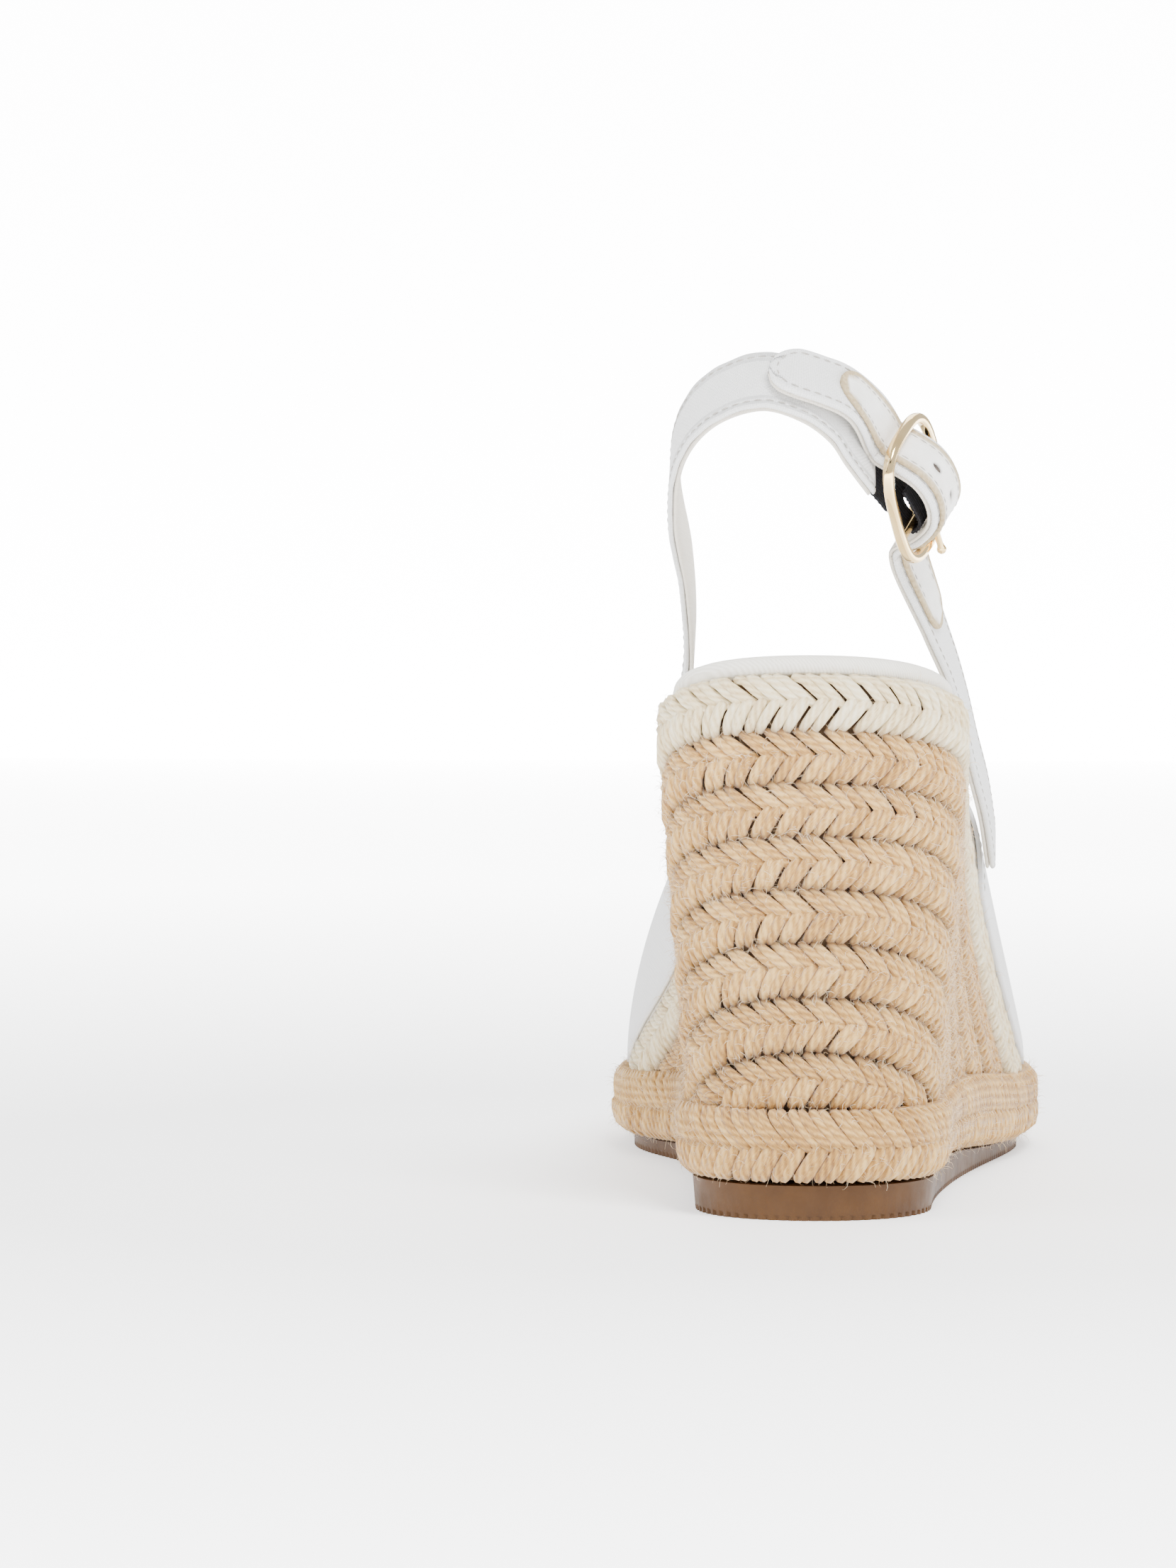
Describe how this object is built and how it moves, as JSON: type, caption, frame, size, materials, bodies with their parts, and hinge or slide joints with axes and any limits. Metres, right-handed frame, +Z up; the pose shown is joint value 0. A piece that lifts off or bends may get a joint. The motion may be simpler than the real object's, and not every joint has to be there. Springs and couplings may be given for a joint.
{
  "type": "espadrille wedge sandal",
  "caption": "Right-foot slingback espadrille sandal with a rope-wrapped wedge, white linen peep-toe vamp and a buckled heel strap on the outer side.",
  "frame": {"origin": "on the ground, under the middle of the bounding box", "axes": "+Y towards the toe, +X towards the outer (buckle) side, +Z up"},
  "size_m": [0.0968, 0.2428, 0.1775],
  "materials": {
    "linen": "white linen canvas, matt, fine plain weave",
    "lining": "off-white cotton lining, matt",
    "cover": "cream twill over padding, matt",
    "jute": "braided natural jute rope, fibrous",
    "cream": "braided bleached jute rope, fibrous",
    "cork": "agglomerated cork, matt",
    "board": "pressed fibre board, matt",
    "foam": "soft latex foam, matt",
    "gum": "gum rubber, satin",
    "leather": "white leather with a raw beige edge, satin",
    "elastic": "black ribbed elastic, matt",
    "gold": "polished pale gold plating"
  },
  "bodies": {
    "sole": {"outsole": "gum", "foxing_rope_lower": "jute", "foxing_rope_upper": "jute", "jute_braid_1": "jute", "jute_braid_2": "jute", "jute_braid_3": "jute", "jute_braid_4": "jute", "jute_braid_5": "jute", "jute_braid_6": "jute", "jute_braid_7": "jute", "cream_braid": "cream", "wedge_core": "cork", "insole_board": "board", "insole_foam": "foam", "insole_cover": "cover", "vamp": "linen", "vamp_lining": "lining"},
    "sling": {"sling_strap": "linen", "sling_lining": "lining", "buckle_strap": "linen", "buckle_strap_lining": "lining", "leather_patch": "leather", "elastic": "elastic"},
    "strap_end": {"strap_tip": "linen", "strap_tip_lining": "lining"},
    "buckle": {"buckle_frame": "gold"},
    "tongue": {"prong": "gold"}
  },
  "joints": [
    {"name": "sling_swing", "type": "hinge", "parent": "sole", "child": "sling", "pos_m": [0.0016, -0.02305, 0.074], "axis": [1, 0, 0], "range_deg": [-75, 0]},
    {"name": "strap_end_lift", "type": "hinge", "parent": "sling", "child": "strap_end", "pos_m": [0.00386, -0.11417, 0.17098], "axis": [-0.1057, 0.6801, 0.7255], "range_deg": [0, 40]},
    {"name": "buckle_swing", "type": "hinge", "parent": "sling", "child": "buckle", "pos_m": [0.0235, -0.0898, 0.14475], "axis": [-0.3378, -0.7378, -0.5844], "range_deg": [0, 2]},
    {"name": "prong_lift", "type": "hinge", "parent": "buckle", "child": "tongue", "pos_m": [0.0235, -0.0898, 0.14475], "axis": [-0.3378, -0.7378, -0.5844], "range_deg": [0, 6]}
  ]
}
